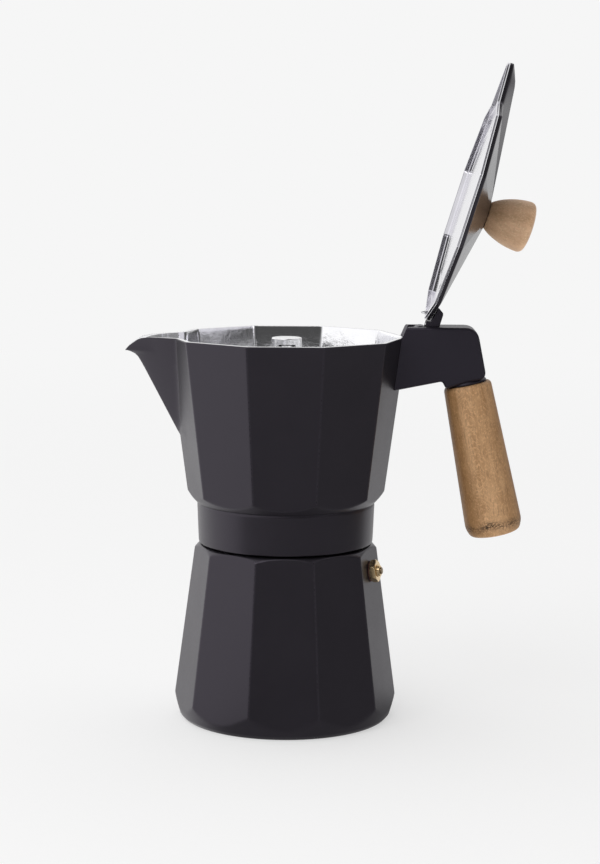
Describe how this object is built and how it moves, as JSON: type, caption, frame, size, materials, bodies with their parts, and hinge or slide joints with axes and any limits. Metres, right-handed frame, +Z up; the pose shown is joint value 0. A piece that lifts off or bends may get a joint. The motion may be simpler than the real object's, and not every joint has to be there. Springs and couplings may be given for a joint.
{
  "type": "moka pot",
  "caption": "Stovetop moka pot with a ten-sided matte black boiler and collector, hinged lid, spout, wood grip and wood knob.",
  "frame": {"origin": "centre of the round base, on the surface that the pot stands on", "axes": "+Z up through the column, -X towards the spout, +X towards the handle"},
  "size_m": [0.1869, 0.1046, 0.3009],
  "materials": {
    "cast_black": "matte black heat-resistant coating on cast aluminium, satin sheen",
    "lid_black": "satin black coating on pressed aluminium",
    "handle_black": "matte black moulded heat-resistant plastic",
    "bright_metal": "polished bare aluminium",
    "steel": "plain steel fasteners and pressings",
    "brass": "turned brass, lightly satin",
    "wood": "light brown oiled wood with fine open pores",
    "seal": "off-white silicone seal",
    "fibre": "red-brown fibre washer"
  },
  "bodies": {
    "boiler": {"boiler": "cast_black", "valve_washer": "fibre", "valve_body": "brass", "valve_cap": "brass"},
    "valve": {"valve_poppet": "steel", "valve_spring": "steel"},
    "funnel": {"funnel": "bright_metal", "funnel_sieve": "bright_metal"},
    "seal": {"gasket": "seal", "filter_plate": "bright_metal"},
    "collector": {"collector": "cast_black", "column": "bright_metal", "column_cap": "bright_metal", "bracket": "handle_black", "bracket_screw": "steel", "hinge_pin": "steel", "grip": "wood", "grip_insert": "brass", "grip_bolt": "steel"},
    "lid": {"lid_shell": "lid_black", "lid_liner": "bright_metal", "lid_tongue": "handle_black", "tongue_rivets": "steel", "knob": "wood", "knob_screw": "steel", "knob_nut": "brass"}
  },
  "joints": [
    {"name": "valve_slide", "type": "slide", "parent": "boiler", "child": "valve", "axis": [0.9434, -0.3065, 0.1266], "range_m": [0, 0.0012], "stiffness_N_per_m": 2500, "springref_m": -0.002, "deforming": ["valve_spring"]},
    {"name": "funnel_lift", "type": "slide", "parent": "boiler", "child": "funnel", "axis": [0, 0, 1], "range_m": [0, 0.09]},
    {"name": "collector_rise", "type": "slide", "parent": "funnel", "child": "seal", "axis": [0, 0, 1], "range_m": [0, 0.00613]},
    {"name": "collector_turn", "type": "hinge", "parent": "seal", "child": "collector", "pos_m": [0, 0, 0.09], "axis": [0, 0, 1], "range_deg": [0, 630]},
    {"name": "lid_hinge", "type": "hinge", "parent": "collector", "child": "lid", "pos_m": [0.0608, 0, 0.1782], "axis": [0, -1, 0], "range_deg": [0, 107.3]}
  ],
  "couplings": [
    {"joint": "collector_rise", "follows": "collector_turn", "m_per_rad": 0.00055704}
  ]
}
